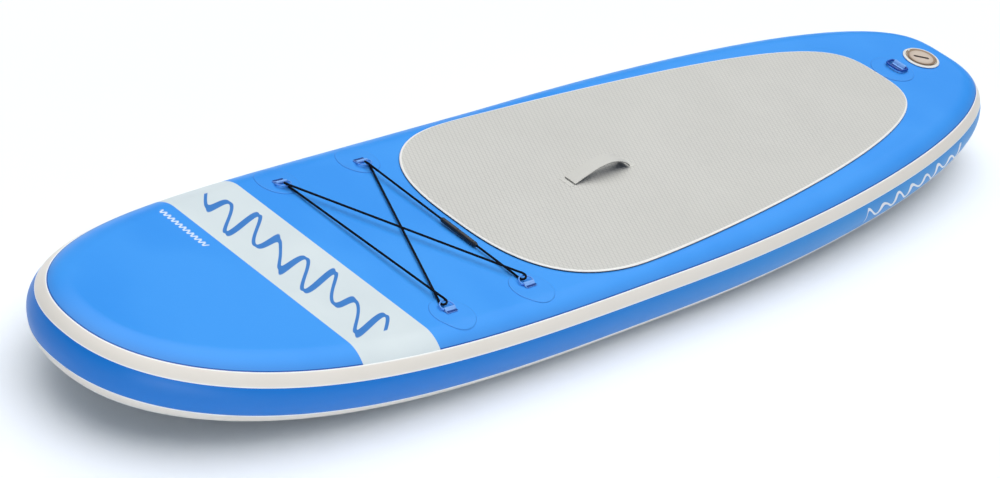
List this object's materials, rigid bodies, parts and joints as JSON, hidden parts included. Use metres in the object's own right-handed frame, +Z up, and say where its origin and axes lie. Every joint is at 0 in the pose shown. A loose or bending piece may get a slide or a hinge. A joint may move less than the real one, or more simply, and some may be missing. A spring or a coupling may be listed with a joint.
{
  "type": "inflatable stand up paddleboard",
  "caption": "Long rounded inflatable paddleboard with a grooved foam deck pad, crossed bungee lacing, webbing carry handle, inflation valve and hull fin box.",
  "frame": {"origin": "on the floor plane under the middle of the board, where the flat of the belly rests", "axes": "+Y from nose to tail, +X to the port side, +Z up from the belly to the deck"},
  "size_m": [0.7584, 3.0464, 0.225],
  "materials": {
    "deck_pvc": "satin",
    "wall_pvc": "satin",
    "white_pvc": "satin",
    "core_fabric": "woven",
    "pad_foam": "grooved foam",
    "blue_webbing": "woven",
    "blue_plastic": "satin",
    "black_cord": "braided",
    "beige_webbing": "woven",
    "white_plastic": "satin",
    "beige_plastic": "satin",
    "grey_rubber": "matte",
    "spring_steel": "bright",
    "black_plastic": "satin"
  },
  "bodies": {
    "hull": {"drop_stitch_core": "core_fabric", "deck_skin": "deck_pvc", "hull_skin": "white_pvc", "side_wall": "wall_pvc", "upper_rail_tape": "white_pvc", "lower_rail_tape": "white_pvc", "deck_pad": "pad_foam", "ring_patch_front_starboard": "deck_pvc", "webbing_loop_front_starboard": "blue_webbing", "ring_patch_front_port": "deck_pvc", "webbing_loop_front_port": "blue_webbing", "ring_patch_rear_starboard": "deck_pvc", "webbing_loop_rear_starboard": "blue_webbing", "ring_patch_rear_port": "deck_pvc", "webbing_loop_rear_port": "blue_webbing", "ring_patch_tail": "deck_pvc", "webbing_loop_tail": "blue_webbing", "bungee_front_starboard": "black_cord", "bungee_front_port": "black_cord", "bungee_rear_starboard": "black_cord", "bungee_rear_port": "black_cord", "bungee_splice": "black_plastic", "handle_front_leg": "beige_webbing", "handle_rear_leg": "beige_webbing", "handle_tab_front": "beige_webbing", "handle_tab_rear": "beige_webbing", "valve_gasket": "grey_rubber", "valve_clamp_nut": "black_plastic", "valve_body": "white_plastic", "valve_spring": "spring_steel", "fin_base_patch": "white_pvc", "fin_box": "black_plastic"},
    "handle": {"handle_grip": "beige_webbing"},
    "cap_tether_arm": {"cap_tether": "white_plastic"},
    "cap": {"valve_cap": "beige_plastic", "cap_o_ring": "grey_rubber"},
    "valve_stem_seal": {"valve_seal": "grey_rubber"},
    "valve_stem": {"valve_plunger": "black_plastic"},
    "fin_key": {"fin_lock_key": "blue_plastic"},
    "tail_ring": {"d_ring_tail": "blue_plastic"},
    "ring_front_starboard": {"d_ring_front_starboard": "blue_plastic"},
    "ring_front_port": {"d_ring_front_port": "blue_plastic"},
    "ring_rear_starboard": {"d_ring_rear_starboard": "blue_plastic"},
    "ring_rear_port": {"d_ring_rear_port": "blue_plastic"}
  },
  "joints": [
    {"name": "ring_front_starboard_lift", "type": "hinge", "parent": "hull", "child": "ring_front_starboard", "pos_m": [-0.258, -0.68983, 0.17173], "axis": [0, -0.9995, 0.0323], "range_deg": [0, 50], "stiffness_Nm_per_rad": 0.02, "springref_deg": -17.19, "deforming": ["bungee_front_starboard"]},
    {"name": "ring_front_port_lift", "type": "hinge", "parent": "hull", "child": "ring_front_port", "pos_m": [0.258, -0.68983, 0.17173], "axis": [0, 0.9995, -0.0323], "range_deg": [0, 50], "stiffness_Nm_per_rad": 0.02, "springref_deg": -17.19, "deforming": ["bungee_front_port"]},
    {"name": "ring_rear_starboard_lift", "type": "hinge", "parent": "hull", "child": "ring_rear_starboard", "pos_m": [-0.258, -0.43994, 0.16646], "axis": [0, -0.9999, 0.0111], "range_deg": [0, 50], "stiffness_Nm_per_rad": 0.02, "springref_deg": -17.19, "deforming": ["bungee_rear_starboard"]},
    {"name": "ring_rear_port_lift", "type": "hinge", "parent": "hull", "child": "ring_rear_port", "pos_m": [0.258, -0.43994, 0.16646], "axis": [0, 0.9999, -0.0111], "range_deg": [0, 50], "stiffness_Nm_per_rad": 0.02, "springref_deg": -17.19, "deforming": ["bungee_rear_port"]},
    {"name": "tail_ring_flip", "type": "hinge", "parent": "hull", "child": "tail_ring", "pos_m": [0, 1.28063, 0.21102], "axis": [-1, 0, 0], "range_deg": [0, 165]},
    {"name": "handle_flop", "type": "hinge", "parent": "hull", "child": "handle", "pos_m": [0, 0.0805, 0.16846], "axis": [0, 0.9999, 0.0116], "range_deg": [-45, 45], "stiffness_Nm_per_rad": 0.15, "deforming": ["handle_front_leg", "handle_rear_leg"]},
    {"name": "cap_open", "type": "hinge", "parent": "hull", "child": "cap_tether_arm", "pos_m": [-0.0445, 1.37581, 0.2124], "axis": [0, -0.9986, -0.0532], "range_deg": [0, 160]},
    {"name": "cap_turn", "type": "hinge", "parent": "cap_tether_arm", "child": "cap", "pos_m": [0, 1.37584, 0.2119], "axis": [0, -0.0532, 0.9986], "range_deg": [0, 90]},
    {"name": "valve_press", "type": "slide", "parent": "hull", "child": "valve_stem_seal", "axis": [0, 0.0532, -0.9986], "range_m": [0, 0.004], "stiffness_N_per_m": 900, "springref_m": -0.003, "deforming": ["valve_spring"]},
    {"name": "valve_turn", "type": "hinge", "parent": "valve_stem_seal", "child": "valve_stem", "pos_m": [0, 1.37653, 0.19892], "axis": [0, -0.0532, 0.9986], "range_deg": [0, 90]},
    {"name": "fin_key_pull", "type": "slide", "parent": "hull", "child": "fin_key", "axis": [1, 0, 0], "range_m": [0, 0.025]}
  ]
}
